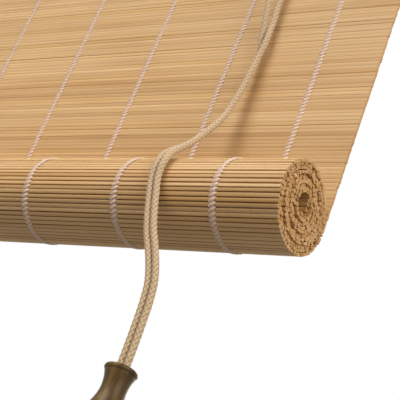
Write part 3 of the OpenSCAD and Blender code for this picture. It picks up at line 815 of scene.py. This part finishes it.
# %% [markdown]
# The warp: each line is a pair of thin threads that are twisted round each other, one stick in every
# half turn. From the front each pass over a stick is a short flat stitch. A stitch could be painted on,
# but it stands out from the sticks and catches the light. One strand of one full turn is drawn as a
# curve and made a mesh; copies of it, shifted by half a turn, give the second strand.

# %% One turn of a warp strand
THREAD_RINGS = 8
STITCH_R, STITCH_WIDE, STITCH_LEAN = 0.00032, 4.0, 0.00016
STITCH_OUT, STITCH_DIP = 0.00080, 0.00038


def add_strand(name):
    data = bpy.data.curves.new(name, "CURVE")
    data.dimensions = "3D"
    data.bevel_depth = STITCH_R
    data.bevel_resolution = 1
    spline = data.splines.new("POLY")
    spline.points.add(THREAD_RINGS)
    for i, point in enumerate(spline.points):
        turn = 2 * math.pi * i / THREAD_RINGS
        wave = round(math.cos(turn), 6)
        depth = math.copysign(abs(wave) ** 0.3, wave)
        point.co = (STITCH_LEAN * math.sin(turn), -STITCH_OUT * depth - STITCH_DIP * (1 - depth * depth),
                    2 * PITCH * i / THREAD_RINGS, 1)
    strand = bpy.data.objects.new(name, data)
    bpy.context.scene.collection.objects.link(strand)
    select_only(strand)
    bpy.ops.object.convert(target="MESH")
    for vertex in strand.data.vertices:
        vertex.co.x *= STITCH_WIDE
    print(name, "faces:", len(strand.data.polygons))
    return strand


strand = add_strand("warp_strand")

# %% [markdown]
# Down the mat the copies stand one above the other; on the roll they are bent round its first turn. A
# curve modifier could bend them, but the roll is a spiral, so a short formula lays each point. Copies
# that meet are merged, so each strand is one long tube.

# %% Copies of the strand
MAT_FRONT = MAT_BACK - STICK_T
ROLL_THREAD_START = 4


def thread_copies(name, strand, lines, turns, bend):
    """Both strands of each line, with turns copies each, laid by the function bend(points)."""
    points = np.array([v.co for v in strand.data.vertices])
    faces = [tuple(p.vertices) for p in strand.data.polygons]
    all_points, all_faces = [], []
    for x in lines:
        for half in (0, 1):
            for n in range(turns):
                made = points + [x, 0, (2 * n + half) * PITCH]
                start = len(all_points) * len(points)
                all_points.append(bend(made))
                all_faces += [tuple(k + start for k in face) for face in faces]
    piece = link_mesh(name, np.vstack(all_points), all_faces)
    select_only(piece)
    bpy.ops.object.mode_set(mode="EDIT")
    bpy.ops.mesh.select_all(action="SELECT")
    bpy.ops.mesh.remove_doubles(threshold=0.000002)
    bpy.ops.mesh.normals_make_consistent(inside=False)
    bpy.ops.object.mode_set(mode="OBJECT")
    bpy.ops.object.shade_smooth()
    print(name, "triangles:", 2 * len(piece.data.polygons))
    return piece


def down_the_mat(points):
    points = points + [0, MAT_Y, ROLL_Z]
    near_roll = points[:, 2] < ROLL_Z + 0.012
    points[near_roll, 1] = np.maximum(points[near_roll, 1], MAT_FRONT - 0.0001)
    return points


def round_the_roll(points):
    radius = ROLL_R - STICK_T / 2
    turn = np.radians(ROLL_THREAD_START) + points[:, 2] / radius
    settled = SETTLE * np.minimum(1, turn / np.radians(300))
    reach = radius - STICK_T * turn / (2 * np.pi) - settled - points[:, 1]
    return np.column_stack([points[:, 0], ROLL_Y + reach * np.cos(turn), ROLL_Z - reach * np.sin(turn)])


first_ring = round_the_roll(np.zeros((1, 3)))[0]
print("roll threads start at (mm):", [round(1000 * v, 1) for v in first_ring])

# %% [markdown]
# Sixteen lines of warp hold the mat. Its thread is a pale, slightly pink cotton of two plies, which a
# fine noise along the thread stands for. The lines of the mat are three pieces, so that none gets too
# heavy, and those of the roll are one piece, which turns with it.

# %% Warp threads
THREAD_X = [-0.370 + 0.740 * i / 15 for i in range(16)]
ROLL_THREAD_SWEEP = 312


def thread_finish(name, shade, light):
    finish, nodes, links, shader = new_finish(name)
    ply = stretched_noise(nodes, links, (1600, 1600, 700), 2)
    links.new(ramp(nodes, links, ply, [(0.3, shade), (0.62, light)]), shader.inputs["Base Color"])
    shader.inputs["Roughness"].default_value = 0.8
    shader.inputs["Specular IOR Level"].default_value = 0.2
    shader.inputs["Sheen Weight"].default_value = 0.2
    bump(nodes, links, ply, 0.4, 0.0001, shader)
    return finish


warp = thread_finish("warp_thread", (0.69, 0.50, 0.385), (0.79, 0.605, 0.49))
hanging_turns = int(round((RAIL_BOTTOM - ROLL_Z) / (2 * PITCH)))
roll_turns = int(math.radians(ROLL_THREAD_SWEEP) * (ROLL_R - STICK_T / 2) / (2 * PITCH))
mat_warp = []
for name, lines in (("left_warp", THREAD_X[:5]), ("middle_warp", THREAD_X[5:11]),
                    ("right_warp", THREAD_X[11:])):
    piece = dress(thread_copies(name, strand, lines, hanging_turns, down_the_mat), warp)
    mat_warp.append(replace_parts(piece, "mat_threads"))
roll_warp = thread_copies("roll_warp", strand, THREAD_X, roll_turns, round_the_roll)
dress(roll_warp, warp)
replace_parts(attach(roll_warp, "roll"), "roll_threads")
bpy.data.objects.remove(strand)

# %% [markdown]
# The tassel is turned on a lathe, so it is drawn like a lathe works: one circle at the bore, pulled
# out ring by ring to the flange, the hollow neck, the belly and the foot, and back up the cavity that
# hides the knot. The spin tool would need the same outline first, so the rings are extruded directly.
# The rim of the foot is then rounded with a bevel.

# %% Turned tassel
def tassel_profile():
    """Radius and depth of each ring, from the bore over the outside to the cavity."""
    bore, flange, neck, belly, foot, cavity = 0.0032, 0.0065, 0.0049, 0.010, 0.008, 0.0053
    rim, waist, length = 0.0012, 0.0086, 0.042
    widest = 0.62 * length
    rings = [(bore, 0.0)]
    rings += [(flange - rim + rim * math.cos(math.radians(a)), rim - rim * math.sin(math.radians(a)))
              for a in range(80, -61, -20)]
    for i in range(9):
        t = i / 8
        rings.append((neck + (flange - 0.0006 - neck) * (1 - t) ** 2.2, 0.0026 + t * 0.0060))
    for i in range(1, 11):
        t = i / 10
        swell = (belly - neck) / 2 * (1 - math.cos(math.pi * t))
        rings.append((neck + swell, waist + t * (widest - waist)))
    for i in range(1, 9):
        t = i / 8
        rings.append((foot + (belly - foot) * math.sqrt(max(0, 1 - t * t)), widest + t * 0.38 * length))
    return rings + [(cavity, length), (cavity, SEAT), (bore, SEAT), (bore, 0.0)]


def add_tassel(name, x, y, top):
    rings = tassel_profile()
    bpy.ops.object.select_all(action="DESELECT")
    bpy.ops.mesh.primitive_circle_add(vertices=48, radius=rings[0][0], location=(x, y, top))
    piece = bpy.context.object
    piece.name = name
    bpy.ops.object.transform_apply(location=True, rotation=False, scale=False)
    bpy.ops.object.mode_set(mode="EDIT")
    bpy.ops.mesh.select_all(action="SELECT")
    for (wide, depth), (next_wide, next_depth) in zip(rings, rings[1:]):
        bpy.ops.mesh.extrude_region_move(TRANSFORM_OT_translate={"value": (0, 0, depth - next_depth)})
        factor = next_wide / wide
        bpy.ops.transform.resize(value=(factor, factor, 1), center_override=(x, y, top - next_depth))
    bpy.ops.mesh.select_all(action="SELECT")
    bpy.ops.mesh.remove_doubles(threshold=0.000005)
    bpy.ops.mesh.normals_make_consistent(inside=False)
    bpy.ops.object.mode_set(mode="OBJECT")
    edge = piece.modifiers.new("rounded_foot", "BEVEL")
    edge.width, edge.segments, edge.angle_limit = 0.0004, 2, math.radians(50)
    bpy.ops.object.modifier_apply(modifier=edge.name)
    bpy.ops.object.shade_smooth_by_angle(angle=math.radians(40))
    print(name, "faces:", len(piece.data.polygons))
    return piece


tassel_x, tassel_y, seat_z = tassel_seat
turned_tassel = add_tassel("turned_tassel", tassel_x, tassel_y, seat_z + SEAT)

# %% [markdown]
# Wood has a grain along its length and fine pores in it. Two noises give them, both stretched along the
# piece, and the pores are also a little rougher than the polish. The same helper makes the dark stained
# wood of the tassel and, further on, the pale wood of the rail.

# %% Stained wood
def number_range(nodes, links, driver, low, high):
    """The driver's 0 to 1 spread over another range."""
    made = nodes.new("ShaderNodeMapRange")
    made.inputs["To Min"].default_value = low
    made.inputs["To Max"].default_value = high
    links.new(driver, made.inputs["Value"])
    return made.outputs["Result"]


def wood_finish(name, dark, mid, light, grain, gloss, shine):
    finish, nodes, links, shader = new_finish(name)
    rings = stretched_noise(nodes, links, grain, 4)
    pores = stretched_noise(nodes, links, tuple(6 * s for s in grain), 2)
    colour = ramp(nodes, links, rings, [(0.30, dark), (0.5, mid), (0.70, light)])
    mixed = tint_by(nodes, links, pores, [(0.34, (0.62, 0.56, 0.50)), (0.5, PLAIN)], 0.6, colour)
    links.new(mixed, shader.inputs["Base Color"])
    links.new(number_range(nodes, links, pores, gloss - 0.08, gloss + 0.10), shader.inputs["Roughness"])
    shader.inputs["Specular IOR Level"].default_value = shine
    bump(nodes, links, pores, 0.25, 0.0002, shader)
    return finish


stained = wood_finish("stained_wood", (0.036, 0.019, 0.004), (0.098, 0.054, 0.013), (0.20, 0.12, 0.034),
                      (190, 190, 26), 0.33, 0.18)
dress(turned_tassel, stained)
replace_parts(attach(turned_tassel, "slings"), "tassel")
print("stained wood nodes:", len(stained.node_tree.nodes))

# %% [markdown]
# The hard parts of the head keep the shape of their solids and only get a finish: oiled softwood for
# the rail and strip, zinc plate for the steel, and turned brass for the wheels and the cam. The record
# says which part has which.

# %% Finishes of the head
def metal_finish(name, dull, bright, rough_low, rough_high, grain):
    finish, nodes, links, shader = new_finish(name)
    spangle = stretched_noise(nodes, links, grain, 3)
    links.new(ramp(nodes, links, spangle, [(0.3, dull), (0.7, bright)]), shader.inputs["Base Color"])
    links.new(number_range(nodes, links, spangle, rough_low, rough_high), shader.inputs["Roughness"])
    shader.inputs["Metallic"].default_value = 1.0
    bump(nodes, links, spangle, 0.12, 0.0002, shader)
    return finish


pine = wood_finish("oiled_softwood", (0.44, 0.25, 0.10), (0.58, 0.37, 0.18), (0.66, 0.45, 0.24),
                   (7, 160, 90), 0.5, 0.35)
zinc = metal_finish("zinc_plate", (0.30, 0.31, 0.32), (0.47, 0.48, 0.49), 0.3, 0.5, (320, 320, 320))
brass = metal_finish("turned_brass", (0.42, 0.26, 0.075), (0.60, 0.41, 0.15), 0.2, 0.38, (900, 60, 900))
by_slot = {"rail_wood": pine, "steel": zinc, "brass": brass, "bamboo": bamboo, "warp_thread": warp,
           "cord": cotton, "stained_wood": stained}
for part in frame["record"]["subparts"]:
    node = frame["nodes"][part["node"]]
    node.data.materials.clear()
    node.data.materials.append(by_slot[part["material_slot"]])

# %% [markdown]
# Last, each soft piece is fixed to the part that it moves with. What hangs between the head and the
# roll gets a mesh of its own and goes with the head, and so do the leads and the runs over the sheaves;
# the slings and the drapes go with the slings. Really the mat winds on and the cord runs through the
# lock.


def shorten(piece):
    """Gives a hanging piece its own mesh and fixes it to the head."""
    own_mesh(piece)
    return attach(piece, "head")


shorten(hanging_sticks)
for piece in mat_warp:
    shorten(piece)
for side in ("left", "right"):
    shorten(lift_pieces[side, "lift_cord_back"])
    shorten(lift_pieces[side, "lift_cord_front"])
    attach(lift_pieces[side, "sling"], "slings")
    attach(lift_pieces[side, "head_run"], "head")
    run, run_line = pull_pieces[side, "run"]
    drape, drape_line = pull_pieces[side, "drape"]
    shorten(run)
    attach(pull_pieces[side, "lead"][0], "head")
    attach(drape, "slings")
    print(side, "cords told how they move")
